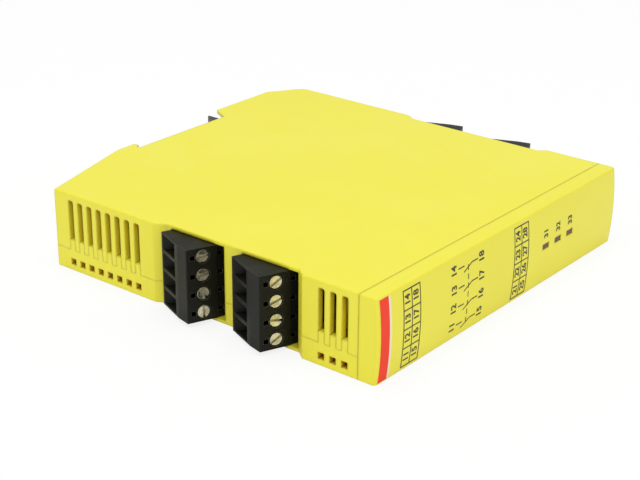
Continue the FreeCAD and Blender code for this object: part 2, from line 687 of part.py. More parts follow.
def pin_holes():
    """Holes of the board for the four pins of a header, in the plug's frame."""
    half = PIN_SIZE / 2 + PIN_HOLE_PLAY
    return [box((-PIN_A - half, LEG_START + LEG_PITCH * k - half, 0),
                (-PIN_A + half, LEG_START + LEG_PITCH * k + half, MODULE_WIDTH))
            for k in range(POLES)]


def circuit_board():
    """The board, notched round the headers and drilled for pins and posts."""
    board = cavity(SIDE_WALL + BOARD_GAP, BOARD_Z, BOARD_TOP, SEAM_X - BOARD_FRONT_GAP)
    cuts = []
    for side in (-1, 1):
        for row in (0, 1):
            cuts += [place(cut, side, row) for cut in [header_cutout()] + pin_holes()]
    for x, y in POST_SPOTS:
        cuts.append(rod(POST_PIN_RADIUS + POST_PLAY, 0, MODULE_WIDTH, x, y))
    return board.cut(cuts)


def relay_can(place_xy):
    """A sealed force-guided relay, lying on the board."""
    x, y = place_xy
    long_x, long_y = RELAY_SIZE
    base = box((x - long_x / 2, y - long_y / 2, BOARD_TOP),
               (x + long_x / 2, y + long_y / 2, BOARD_TOP + RELAY_BASE))
    cover = box((x - long_x / 2 + RELAY_RIM, y - long_y / 2 + RELAY_RIM, BOARD_TOP + ROOT),
                (x + long_x / 2 - RELAY_RIM, y + long_y / 2 - RELAY_RIM,
                 BOARD_TOP + RELAY_HEIGHT))
    top = [edge for edge in cover.Edges
           if edge.BoundBox.ZMin > BOARD_TOP + RELAY_HEIGHT - RELAY_BEVEL]
    return base.fuse(cover.makeChamfer(RELAY_BEVEL, top)).removeSplitter()


def capacitors():
    """Electrolytic capacitors standing on the board."""
    return Part.makeCompound([rod(CAPACITOR_RADIUS, BOARD_TOP, BOARD_TOP + CAPACITOR_HEIGHT, x, y)
                              for x, y in CAPACITOR_PLACES])


def choke():
    """A drum choke on the board."""
    x, y = COIL_PLACE
    drum = rod(COIL_RADIUS, BOARD_TOP, BOARD_TOP + COIL_HEIGHT, x, y)
    groove = rod(COIL_RADIUS + 1, BOARD_TOP + COIL_FLANGE,
                 BOARD_TOP + COIL_HEIGHT - COIL_FLANGE, x, y)
    return drum.cut(groove.cut(rod(COIL_RADIUS - 1, BOARD_TOP, BOARD_TOP + COIL_HEIGHT, x, y)))


def light_guides():
    """Three light guides from the board's lamps to the windows of the cap."""
    guides = []
    foot = BOARD_TOP + LED_SIZE[2] + LED_GAP
    for y in LAMP_Y:
        bar = lamp_window(0, GUIDE_FOOT_X, FRONT_X - LAMP_SINK, y)
        stem = box((GUIDE_FOOT_X, y - LAMP_LENGTH / 2, foot),
                   (GUIDE_FOOT_X + LED_SIZE[0], y + LAMP_LENGTH / 2, MID_Z + LAMP_HEIGHT / 2))
        guides.append(bar.fuse(stem).removeSplitter())
    return Part.makeCompound(guides)


def indicator_lamps():
    """Three surface-mounted lamps under the light guides."""
    long_x, long_y, high = LED_SIZE
    return Part.makeCompound([
        box((GUIDE_FOOT_X, y - long_y / 2, BOARD_TOP),
            (GUIDE_FOOT_X + long_x, y + long_y / 2, BOARD_TOP + high)) for y in LAMP_Y])


def plug_name(side, row):
    """Plain place name of a plug: top or bottom side, rail or label end."""
    return ("top" if side < 0 else "bottom") + ("_rear" if row == 0 else "_front")


def plug_nodes():
    """All nodes of the four plugs and of their headers."""
    nodes = {}
    body = plug_body()
    header = header_body()
    strips = contact_strips()
    pins = Part.makeCompound([header_pin(pole) for pole in range(POLES)])
    turn = 0
    for side in (-1, 1):
        for row in (0, 1):
            name = plug_name(side, row)
            nodes["terminal_plug_" + name] = place(body, side, row)
            nodes["contact_strips_" + name] = place(strips, side, row)
            nodes["header_socket_" + name] = place(header, side, row)
            for pole in range(POLES):
                angle = SLOT_ANGLES[turn % len(SLOT_ANGLES)]
                tag = name + "_" + str(pole + 1)
                nodes["clamp_screw_" + tag] = place(clamp_screw(pole, angle), side, row)
                nodes["clamp_cage_" + tag] = place(clamp_cage(pole), side, row)
                turn += 1
        nodes["header_pins_" + ("top" if side < 0 else "bottom")] = Part.makeCompound(
            [place(pins, side, row) for row in (0, 1)])
    return nodes


def all_nodes():
    """Every piece of the module, by node name."""
    lower, upper = shells()
    nodes = {"lower_shell": lower, "upper_shell": upper, "front_cap": front_cap(),
             "rail_latch": rail_latch(), "latch_spring": latch_spring(),
             "circuit_board": circuit_board(), "capacitors": capacitors(),
             "choke": choke(), "light_guides": light_guides(),
             "indicator_lamps": indicator_lamps()}
    for number, spot in enumerate(RELAY_PLACES, start=1):
        nodes["relay_" + str(number)] = relay_can(spot)
    nodes.update(plug_nodes())
    return nodes


os.makedirs("parts", exist_ok=True)
for node, shape in all_nodes().items():
    shape.exportStep("parts/" + node + ".step")
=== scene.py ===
"""Looks of the safety relay module: finishes, face print and a plain studio.

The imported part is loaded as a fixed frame, in metres.  +X runs from the rail
seat to the label face, Y along the body and +Z across the module's width, which
is also up, because the module lies on its side.
"""
import json
import logging
import math
from dataclasses import dataclass
from enum import Enum

import bpy
from mathutils import Matrix, Vector


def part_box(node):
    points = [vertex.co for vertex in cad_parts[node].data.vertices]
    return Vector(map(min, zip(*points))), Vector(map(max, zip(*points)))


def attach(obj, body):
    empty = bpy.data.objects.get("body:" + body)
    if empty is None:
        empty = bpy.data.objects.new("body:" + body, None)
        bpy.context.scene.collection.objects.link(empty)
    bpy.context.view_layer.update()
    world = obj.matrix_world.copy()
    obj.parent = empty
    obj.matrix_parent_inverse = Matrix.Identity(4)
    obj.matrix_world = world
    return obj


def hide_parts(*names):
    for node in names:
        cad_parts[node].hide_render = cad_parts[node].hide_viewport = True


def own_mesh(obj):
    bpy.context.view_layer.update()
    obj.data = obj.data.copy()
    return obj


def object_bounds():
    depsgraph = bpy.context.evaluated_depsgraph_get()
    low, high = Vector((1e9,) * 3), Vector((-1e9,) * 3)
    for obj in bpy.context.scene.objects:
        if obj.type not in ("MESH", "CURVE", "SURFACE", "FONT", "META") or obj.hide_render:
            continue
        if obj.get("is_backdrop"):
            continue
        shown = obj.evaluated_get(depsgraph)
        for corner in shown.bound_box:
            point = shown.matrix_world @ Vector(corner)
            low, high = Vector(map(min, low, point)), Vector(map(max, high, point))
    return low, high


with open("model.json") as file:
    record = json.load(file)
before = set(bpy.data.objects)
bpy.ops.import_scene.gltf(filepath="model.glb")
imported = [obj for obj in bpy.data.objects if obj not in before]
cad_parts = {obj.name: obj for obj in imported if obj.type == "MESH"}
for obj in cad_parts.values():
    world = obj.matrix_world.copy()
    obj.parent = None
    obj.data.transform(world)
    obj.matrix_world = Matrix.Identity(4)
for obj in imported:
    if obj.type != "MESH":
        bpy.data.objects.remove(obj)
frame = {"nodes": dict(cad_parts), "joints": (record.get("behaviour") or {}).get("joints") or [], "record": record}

LOG = logging.getLogger("safety_relay")
MM = 0.001
Colour = tuple[float, float, float, float]
Value = bpy.types.NodeSocket | float | Colour


def srgb(red: int, green: int, blue: int) -> Colour:
    """Turn a display colour into the linear colour that shaders use.

    Args:
        red: Red, 0 to 255.
        green: Green, 0 to 255.
        blue: Blue, 0 to 255.

    Returns:
        The linear colour with full opacity.
    """
    def linear(level: int) -> float:
        """Turn one channel's level into linear light."""
        share = level / 255
        return share / 12.92 if share <= 0.04045 else ((share + 0.055) / 1.055) ** 2.4
    return linear(red), linear(green), linear(blue), 1.0


def plant(name: str, points: list, faces: list[tuple[int, ...]]) -> bpy.types.Object:
    """Make a mesh piece and put it in the scene.

    Args:
        name: Name of the piece and of its mesh.
        points: Its points.
        faces: The indices of the points of each face.

    Returns:
        The piece.
    """
    mesh = bpy.data.meshes.new(name)
    mesh.from_pydata([tuple(point) for point in points], [], faces)
    mesh.validate()
    piece = bpy.data.objects.new(name, mesh)
    bpy.context.scene.collection.objects.link(piece)
    return piece


# --- shader tools -----------------------------------------------------------
class Tree:
    """A node tree with short calls for adding and joining nodes."""

    def __init__(self, tree: bpy.types.NodeTree) -> None:
        """Keep the node tree that the calls add to."""
        self.tree = tree

    def add(self, kind: str, inputs: dict[str | int, Value] | None = None,
            **settings: object) -> bpy.types.Node:
        """Add a node.

        Args:
            kind: Blender's node type name.
            inputs: Input names or indices with a value, or a socket to link.
            **settings: Properties of the node itself.

        Returns:
            The new node.
        """
        node = self.tree.nodes.new(kind)
        for name, value in settings.items():
            setattr(node, name, value)
        for name, value in (inputs or {}).items():
            if isinstance(value, bpy.types.NodeSocket):
                self.tree.links.new(value, node.inputs[name])
            else:
                node.inputs[name].default_value = value
        return node

    def math(self, operation: str, first: Value, second: Value = 0.0) -> bpy.types.NodeSocket:
        """Join two values by a math operation.

        Args:
            operation: Name of the operation, such as MULTIPLY.
            first: A socket or a number.
            second: A socket or a number.

        Returns:
            The socket with the result.
        """
        return self.add("ShaderNodeMath", {0: first, 1: second}, operation=operation).outputs[0]

    def spread(self, value: Value, low: float, high: float, to_low: float = 0.0,
               to_high: float = 1.0) -> bpy.types.NodeSocket:
        """Stretch a value from one range to another, smoothly clamped.

        Args:
            value: The socket to stretch.
            low: Start of its range.
            high: End of its range.
            to_low: Result at the start.
            to_high: Result at the end.

        Returns:
            The socket with the stretched value.
        """
        node = self.add("ShaderNodeMapRange", {"Value": value, "From Min": low,
                                               "From Max": high, "To Min": to_low,
                                               "To Max": to_high},
                        interpolation_type="SMOOTHSTEP")
        return node.outputs["Result"]

    def blend(self, share: Value, first: Value, second: Value) -> bpy.types.NodeSocket:
        """Mix two colours.

        Args:
            share: Socket or number, the share of the second colour.
            first: Socket or colour.
            second: Socket or colour.

        Returns:
            The socket with the mixed colour.
        """
        node = self.add("ShaderNodeMix", data_type="RGBA")
        for socket, value in ((node.inputs[0], share), (node.inputs[6], first),
                              (node.inputs[7], second)):
            if isinstance(value, bpy.types.NodeSocket):
                self.tree.links.new(value, socket)
            else:
                socket.default_value = value
        return node.outputs[2]


class Effect(Enum):
    """The shared surface effects, each one node group."""

    GRAIN = "moulded_grain"
    EDGES = "rounded_worn_edges"
    DUST = "settled_dust"
    LAY = "turned_metal_lay"
    SHADE_IN_RECESSES = "recess_shade"


class Effects:
    """Makes each shared effect once and hands out nodes that use it.

    A range gives the low and high end of what tells on the surface, and then,
    where it has four values, the results at both ends.
    """

    TONE_RANGE = (0.3, 0.7)
    # Turn of the normal that gives the lighter colour on edges, partly worn by rubbing and partly painted
    # highlight.
    EDGE_WEAR_AND_HIGHLIGHT_RANGE = (0.02, 0.3)
    PATCH_RANGE = (0.3, 0.65, 0.35, 1)
    UPWARD_RANGE = (0.3, 0.95)
    SPECK_RANGE = (0.45, 0.75)
    # Occlusion range over which the painted shade in slots and openings grows.
    PAINTED_SHADE_RANGE = (0.35, 1.0)
    TARNISH_RANGE = (0.38, 0.68)
    TARNISH_SCALE = 420.0
    MARK_STRETCHES = ((1.0, 0.12, 1.0), (0.12, 1.0, 0.5))

    def __init__(self) -> None:
        """Start with no effect made."""
        self.made: dict[Effect, bpy.types.NodeTree] = {}

    def use(self, tree: Tree, effect: Effect, inputs: dict[str, float]) -> bpy.types.Node:
        """Add a group node for an effect.

        Args:
            tree: The material's tree.
            effect: Which effect.
            inputs: Values for the group's inputs.

        Returns:
            The group node.
        """
        if effect not in self.made:
            builder = {Effect.GRAIN: self.grain, Effect.EDGES: self.edges,
                       Effect.DUST: self.dust, Effect.LAY: self.lay,
                       Effect.SHADE_IN_RECESSES: self.recess_painted_shade}[effect]
            self.made[effect] = builder(effect.value)
        node = tree.add("ShaderNodeGroup", node_tree=self.made[effect])
        for name, value in inputs.items():
            node.inputs[name].default_value = value
        return node

    @staticmethod
    def begin(name: str, inputs: dict[str, float],
              outputs: dict[str, str]) -> tuple[Tree, bpy.types.Node, bpy.types.Node]:
        """Start a node group.

        Args:
            name: Name of the group.
            inputs: Float inputs with their defaults.
            outputs: Output names with their socket types.

        Returns:
            The tree helper, the group input node and the group output node.
        """
        group = bpy.data.node_groups.new(name, "ShaderNodeTree")
        for label, value in inputs.items():
            socket = group.interface.new_socket(label, in_out="INPUT",
                                                socket_type="NodeSocketFloat")
            socket.default_value = value
        for label, kind in outputs.items():
            group.interface.new_socket(label, in_out="OUTPUT", socket_type=kind)
        tree = Tree(group)
        return tree, tree.add("NodeGroupInput"), tree.add("NodeGroupOutput")

    def grain(self, name: str) -> bpy.types.NodeTree:
        """Fine spark-eroded grain of a moulding, with slow tone changes.

        Args:
            name: Name for the group.

        Returns:
            The group, with Height and Tone.
        """
        tree, source, sink = self.begin(
            name, {"Scale": 2500.0, "Tone Scale": 30.0},
            {"Height": "NodeSocketFloat", "Tone": "NodeSocketFloat"})
        place = tree.add("ShaderNodeTexCoord").outputs["Object"]
        fine = tree.add("ShaderNodeTexNoise", {"Vector": place, "Scale": source.outputs["Scale"],
                                               "Detail": 3.0, "Roughness": 0.6})
        slow = tree.add("ShaderNodeTexNoise", {"Vector": place,
                                               "Scale": source.outputs["Tone Scale"],
                                               "Detail": 4.0, "Roughness": 0.55,
                                               "Distortion": 0.4})
        tree.tree.links.new(fine.outputs[0], sink.inputs["Height"])
        tree.tree.links.new(tree.spread(slow.outputs[0], *self.TONE_RANGE), sink.inputs["Tone"])
        return tree.tree

    def edges(self, name: str) -> bpy.types.NodeTree:
        """Rounded shading of sharp edges, and a mask for a lighter colour along them, partly worn by rubbing and
        partly painted highlight.

        Args:
            name: Name for the group.

        Returns:
            The group, with Normal and Mask.
        """
        tree, source, sink = self.begin(
            name, {"Radius": 0.25 * MM, "Patch Scale": 220.0},
            {"Normal": "NodeSocketVector", "Mask": "NodeSocketFloat"})
        bevel = tree.add("ShaderNodeBevel", {"Radius": source.outputs["Radius"]}, samples=6)
        flat = tree.add("ShaderNodeNewGeometry")
        facing = tree.add("ShaderNodeVectorMath", {0: bevel.outputs[0],
                                                   1: flat.outputs["True Normal"]},
                          operation="DOT_PRODUCT").outputs["Value"]
        patches = tree.add("ShaderNodeTexNoise",
                           {"Vector": tree.add("ShaderNodeTexCoord").outputs["Object"],
                            "Scale": source.outputs["Patch Scale"], "Detail": 3.0})
        turned = tree.spread(tree.math("SUBTRACT", 1.0, facing), *self.EDGE_WEAR_AND_HIGHLIGHT_RANGE)
        mask = tree.math("MULTIPLY", turned,
                         tree.spread(patches.outputs[0], *self.PATCH_RANGE))
        tree.tree.links.new(bevel.outputs[0], sink.inputs["Normal"])
        tree.tree.links.new(mask, sink.inputs["Mask"])
        return tree.tree

    def dust(self, name: str) -> bpy.types.NodeTree:
        """A mask of faint dust on the faces that look up.

        Args:
            name: Name for the group.

        Returns:
            The group, with Mask.
        """
        tree, source, sink = self.begin(name, {"Scale": 90.0}, {"Mask": "NodeSocketFloat"})
        normal = tree.add("ShaderNodeNewGeometry").outputs["Normal"]
        upward = tree.add("ShaderNodeSeparateXYZ", {0: normal}).outputs["Z"]
        specks = tree.add("ShaderNodeTexNoise",
                          {"Vector": tree.add("ShaderNodeTexCoord").outputs["Object"],
                           "Scale": source.outputs["Scale"], "Detail": 5.0, "Roughness": 0.7})
        mask = tree.math("MULTIPLY", tree.spread(upward, *self.UPWARD_RANGE),
                         tree.spread(specks.outputs[0], *self.SPECK_RANGE))
        tree.tree.links.new(mask, sink.inputs["Mask"])
        return tree.tree

    def recess_painted_shade(self, name: str) -> bpy.types.NodeTree:
        """A mask of painted shade that grows in slots, corners and deep openings.

        Args:
            name: Name for the group.

        Returns:
            The group, with Mask.
        """
        tree, source, sink = self.begin(
            name, {"Reach": 4.0 * MM, "Depth": 0.85}, {"Mask": "NodeSocketFloat"})
        open_sky = tree.add("ShaderNodeAmbientOcclusion",
                            {"Distance": source.outputs["Reach"]}, samples=8, only_local=True)
        painted_shade = tree.math("SUBTRACT", 1.0, open_sky.outputs["AO"])
        share = tree.math("DIVIDE", painted_shade, source.outputs["Depth"])
        tree.tree.links.new(tree.spread(share, *self.PAINTED_SHADE_RANGE), sink.inputs["Mask"])
        return tree.tree

    def lay(self, name: str) -> bpy.types.NodeTree:
        """Short crossing tool marks of a plated part, and its uneven tarnish.

        Args:
            name: Name for the group.

        Returns:
            The group, with Height and Tone.
        """
        tree, source, sink = self.begin(
            name, {"Scale": 900.0}, {"Height": "NodeSocketFloat", "Tone": "NodeSocketFloat"})
        place = tree.add("ShaderNodeTexCoord").outputs["Object"]
        marks = []
        for stretch in self.MARK_STRETCHES:
            drawn = tree.add("ShaderNodeMapping", {"Vector": place, "Scale": stretch})
            marks.append(tree.add("ShaderNodeTexNoise",
                                  {"Vector": drawn.outputs[0],
                                   "Scale": source.outputs["Scale"],
                                   "Detail": 2.0}).outputs[0])
        tarnish = tree.add("ShaderNodeTexNoise", {"Vector": place,
                                                  "Scale": self.TARNISH_SCALE,
                                                  "Detail": 4.0, "Roughness": 0.65})
        tree.tree.links.new(tree.math("ADD", *marks), sink.inputs["Height"])
        tree.tree.links.new(tree.spread(tarnish.outputs[0], *self.TARNISH_RANGE),
                            sink.inputs["Tone"])
        return tree.tree


# --- finishes ---------------------------------------------------------------
@dataclass(frozen=True)
class Moulding:
    """A moulded, printed or potted plastic."""

    name: str
    base: Colour
    shade: Colour
    # The colour for edges and its share paint a lighter line along turned edges: partly worn by rubbing, partly
    # painted highlight.
    edge: Colour
    roughness: float = 0.42
    smoother: float = 0.04
    rougher: float = 0.05
    grain: float = 2600.0
    depth: float = 0.08
    rounding: float = 0.25 * MM
    wear_and_highlight: float = 0.25
    dust: float = 0.05
    coat: float = 0.0
    sheen: float = 0.5
    # Colour of the painted shade in slots, seams and openings, with how far it reaches and how soon it is full.
    recess_painted_shade: Colour | None = None
    painted_shade_reach: float = 4.0 * MM
    painted_shade_depth: float = 0.85


@dataclass(frozen=True)
class Metal:
    """A plated, drawn or tinned metal."""

    name: str
    base: Colour
    shade: Colour
    roughness: float = 0.28
    smoother: float = 0.06
    rougher: float = 0.12
    marks: float = 900.0
    depth: float = 0.12
    rounding: float = 0.12 * MM


@dataclass(frozen=True)
class Clear:
    """A tinted clear plastic."""

    name: str
    base: Colour
    deep: Colour
    roughness: float = 0.12
    passing: float = 0.35
    grain: float = 1500.0
    tone_scale: float = 300.0
    depth: float = 0.03
    rounding: float = 0.15 * MM


DUST_COLOUR = srgb(222, 218, 205)
BUMP_DISTANCE = 0.2 * MM

FINISHES = (
    # Yellow: the paler colour for edges is partly painted highlight, and the golden colour in slots and vents is
    # painted shade tinted like bounced yellow light.
    Moulding("yellow_housing", srgb(245, 236, 61), srgb(243, 233, 57), srgb(250, 244, 108),
             roughness=0.33, depth=0.04, wear_and_highlight=0.3, dust=0.03, rounding=0.8 * MM,
             sheen=0.5, recess_painted_shade=srgb(206, 150, 4), painted_shade_depth=0.75),
    # Black: the light colour for edges at full share is mostly painted highlight, and the near-black colour in the
    # wire openings is painted shade.
    Moulding("black_terminal", srgb(25, 24, 15), srgb(19, 18, 11), srgb(112, 110, 96),
             roughness=0.42, grain=3200.0, depth=0.06, wear_and_highlight=1.0, dust=0.02,
             rounding=0.3 * MM, sheen=0.18, recess_painted_shade=srgb(4, 4, 3), painted_shade_reach=3.0 * MM,
             painted_shade_depth=0.5),
    Moulding("black_latch", srgb(50, 50, 46), srgb(38, 38, 35), srgb(100, 99, 92),
             roughness=0.45, wear_and_highlight=0.5),
    Moulding("board_laminate", srgb(176, 140, 66), srgb(150, 118, 52), srgb(205, 172, 96),
             roughness=0.35, grain=1400.0, depth=0.1),
    Moulding("relay_cover", srgb(205, 140, 44), srgb(184, 122, 36), srgb(226, 170, 80),
             roughness=0.22, depth=0.02),
    Moulding("capacitor_sleeve", srgb(44, 50, 66), srgb(34, 40, 54), srgb(120, 124, 132),
             roughness=0.2, depth=0.02, coat=0.4),
    Moulding("ferrite", srgb(62, 58, 56), srgb(48, 45, 44), srgb(104, 100, 96),
             roughness=0.7, grain=1800.0, depth=0.2),
    Moulding("lamp_body", srgb(232, 230, 216), srgb(214, 210, 194), srgb(244, 242, 232),
             roughness=0.25, depth=0.02),
    Moulding("stripe_ink", srgb(252, 56, 22), srgb(248, 50, 20), srgb(252, 90, 60),
             roughness=0.45, depth=0.02, wear_and_highlight=0.0, dust=0.0, sheen=0.3),
    Moulding("stripe_edge_ink", srgb(248, 238, 214), srgb(242, 230, 204), srgb(250, 244, 226),
             roughness=0.4, depth=0.02, wear_and_highlight=0.0, dust=0.02),
    Moulding("dark_ink", srgb(66, 62, 24), srgb(54, 51, 20), srgb(80, 76, 34),
             roughness=0.45, depth=0.02, wear_and_highlight=0.0, dust=0.0),
    Metal("spring_steel", srgb(196, 195, 190), srgb(150, 148, 142), roughness=0.25),
    Metal("screw_nickel", srgb(236, 230, 210), srgb(206, 198, 174), roughness=0.28,
          marks=700.0, depth=0.08),
    Metal("cage_zinc", srgb(205, 204, 198), srgb(160, 158, 150), roughness=0.33),
    Metal("tin_contact", srgb(216, 208, 182), srgb(176, 166, 138), roughness=0.24),
    Clear("smoked_guide", srgb(112, 62, 20), srgb(74, 40, 12)),
)


class Finisher:
    """Builds the materials and puts them on pieces."""

    def __init__(self) -> None:
        """Make every finish."""
        self.effects = Effects()
        self.made: dict[str, bpy.types.Material] = {}
        makers = {Moulding: self.moulding, Metal: self.metal, Clear: self.clear}
        for finish in FINISHES:
            self.made[finish.name] = makers[type(finish)](finish)
            LOG.info("finish %s", finish.name)

    @staticmethod
    def begin(name: str) -> tuple[bpy.types.Material, Tree, bpy.types.Node]:
        """Start a material with one Principled shader.

        Args:
            name: Name of the material.

        Returns:
            The material, its tree helper and its shader node.
        """
        material = bpy.data.materials.new(name)
        material.use_nodes = True
        material.node_tree.nodes.clear()
        tree = Tree(material.node_tree)
        shader = tree.add("ShaderNodeBsdfPrincipled")
        sink = tree.add("ShaderNodeOutputMaterial")
        material.node_tree.links.new(shader.outputs[0], sink.inputs[0])
        return material, tree, shader

    @staticmethod
    def relief(tree: Tree, shader: bpy.types.Node, height: bpy.types.NodeSocket,
               depth: float, normal: bpy.types.NodeSocket) -> None:
        """Feed bump on top of rounded edges to a shader.

        Args:
            tree: The material's tree.
            shader: The Principled shader.
            height: Socket with the height.
            depth: Strength of the bump.
            normal: Socket with the rounded normal.
        """
        bump = tree.add("ShaderNodeBump", {"Strength": depth, "Distance": BUMP_DISTANCE,
                                           "Height": height, "Normal": normal})
        tree.tree.links.new(bump.outputs[0], shader.inputs["Normal"])

    def moulding(self, finish: Moulding) -> bpy.types.Material:
        """Make a plastic.

        Args:
            finish: What it looks like.

        Returns:
            The material.
        """
        material, tree, shader = self.begin(finish.name)
        grain = self.effects.use(tree, Effect.GRAIN, {"Scale": finish.grain})
        edges = self.effects.use(tree, Effect.EDGES, {"Radius": finish.rounding})
        dust = self.effects.use(tree, Effect.DUST, {})
        tone = grain.outputs["Tone"]
        colour = tree.blend(tone, finish.base, finish.shade)
        # A lighter colour along turned edges, partly worn by rubbing and partly painted highlight.
        colour = tree.blend(tree.math("MULTIPLY", edges.outputs["Mask"], finish.wear_and_highlight),
                            colour, finish.edge)
        colour = tree.blend(tree.math("MULTIPLY", dust.outputs["Mask"], finish.dust),
                            colour, DUST_COLOUR)
        # Painted shade: a darker colour laid into slots, seams and openings where little open sky is seen.
        if finish.recess_painted_shade:
            painted_shade = self.effects.use(tree, Effect.SHADE_IN_RECESSES, {"Reach": finish.painted_shade_reach,
                                                            "Depth": finish.painted_shade_depth})
            colour = tree.blend(painted_shade.outputs["Mask"], colour, finish.recess_painted_shade)
        rough = tree.spread(tone, 0, 1, finish.roughness - finish.smoother,
                            finish.roughness + finish.rougher)
        links = tree.tree.links
        links.new(colour, shader.inputs["Base Color"])
        links.new(rough, shader.inputs["Roughness"])
        shader.inputs["Coat Weight"].default_value = finish.coat
        shader.inputs["Specular IOR Level"].default_value = finish.sheen
        self.relief(tree, shader, grain.outputs["Height"], finish.depth,
                    edges.outputs["Normal"])
        return material

    def metal(self, finish: Metal) -> bpy.types.Material:
        """Make a metal.

        Args:
            finish: What it looks like.

        Returns:
            The material.
        """
        material, tree, shader = self.begin(finish.name)
        lay = self.effects.use(tree, Effect.LAY, {"Scale": finish.marks})
        edges = self.effects.use(tree, Effect.EDGES, {"Radius": finish.rounding})
        tone = lay.outputs["Tone"]
        links = tree.tree.links
        links.new(tree.blend(tone, finish.base, finish.shade), shader.inputs["Base Color"])
        links.new(tree.spread(tone, 0, 1, finish.roughness - finish.smoother,
                              finish.roughness + finish.rougher),
                  shader.inputs["Roughness"])
        shader.inputs["Metallic"].default_value = 1.0
        self.relief(tree, shader, lay.outputs["Height"], finish.depth, edges.outputs["Normal"])
        return material

    def clear(self, finish: Clear) -> bpy.types.Material:
        """Make a tinted clear plastic.

        Args:
            finish: What it looks like.

        Returns:
            The material.
        """
        material, tree, shader = self.begin(finish.name)
        grain = self.effects.use(tree, Effect.GRAIN, {"Scale": finish.grain,
                                                      "Tone Scale": finish.tone_scale})
        edges = self.effects.use(tree, Effect.EDGES, {"Radius": finish.rounding})
        links = tree.tree.links
        links.new(tree.blend(grain.outputs["Tone"], finish.base, finish.deep),
                  shader.inputs["Base Color"])
        shader.inputs["Roughness"].default_value = finish.roughness
        shader.inputs["Transmission Weight"].default_value = finish.passing
        self.relief(tree, shader, grain.outputs["Height"], finish.depth,
                    edges.outputs["Normal"])
        return material

    def put(self, piece: bpy.types.Object, finish: str) -> None:
        """Put a finish on every material slot of a piece.

        Args:
            piece: The object.
            finish: Name of the finish.
        """
        if not piece.material_slots:
            piece.data.materials.append(self.made[finish])
        for place in piece.material_slots:
            place.material = self.made[finish]

    def dress_nodes(self) -> None:
        """Put the record's finishes on all the CAD nodes."""
        for entry in frame["record"]["subparts"]:
            self.put(frame["nodes"][entry["node"]], entry["material_slot"])
            LOG.info("node %s gets %s", entry["node"], entry["material_slot"])


# --- clamp screws -------------------------------------------------------------
@dataclass(frozen=True)
class ScrewSizes:
    """Sizes of a slotted clamp screw, along its own axis."""

    head_radius: float = 1.75 * MM
    head_top: float = -0.2 * MM
    head_base: float = -2.0 * MM
    bevel: float = 0.14 * MM
    dish: float = 0.05 * MM
    dish_share: float = 0.55
    slot_width: float = 0.62 * MM
    slot_depth: float = 0.85 * MM
    thread_radius: float = 1.25 * MM
    core_radius: float = 1.1 * MM
    thread_pitch: float = 0.5 * MM
    tip: float = -7.4 * MM
    segments: int = 48


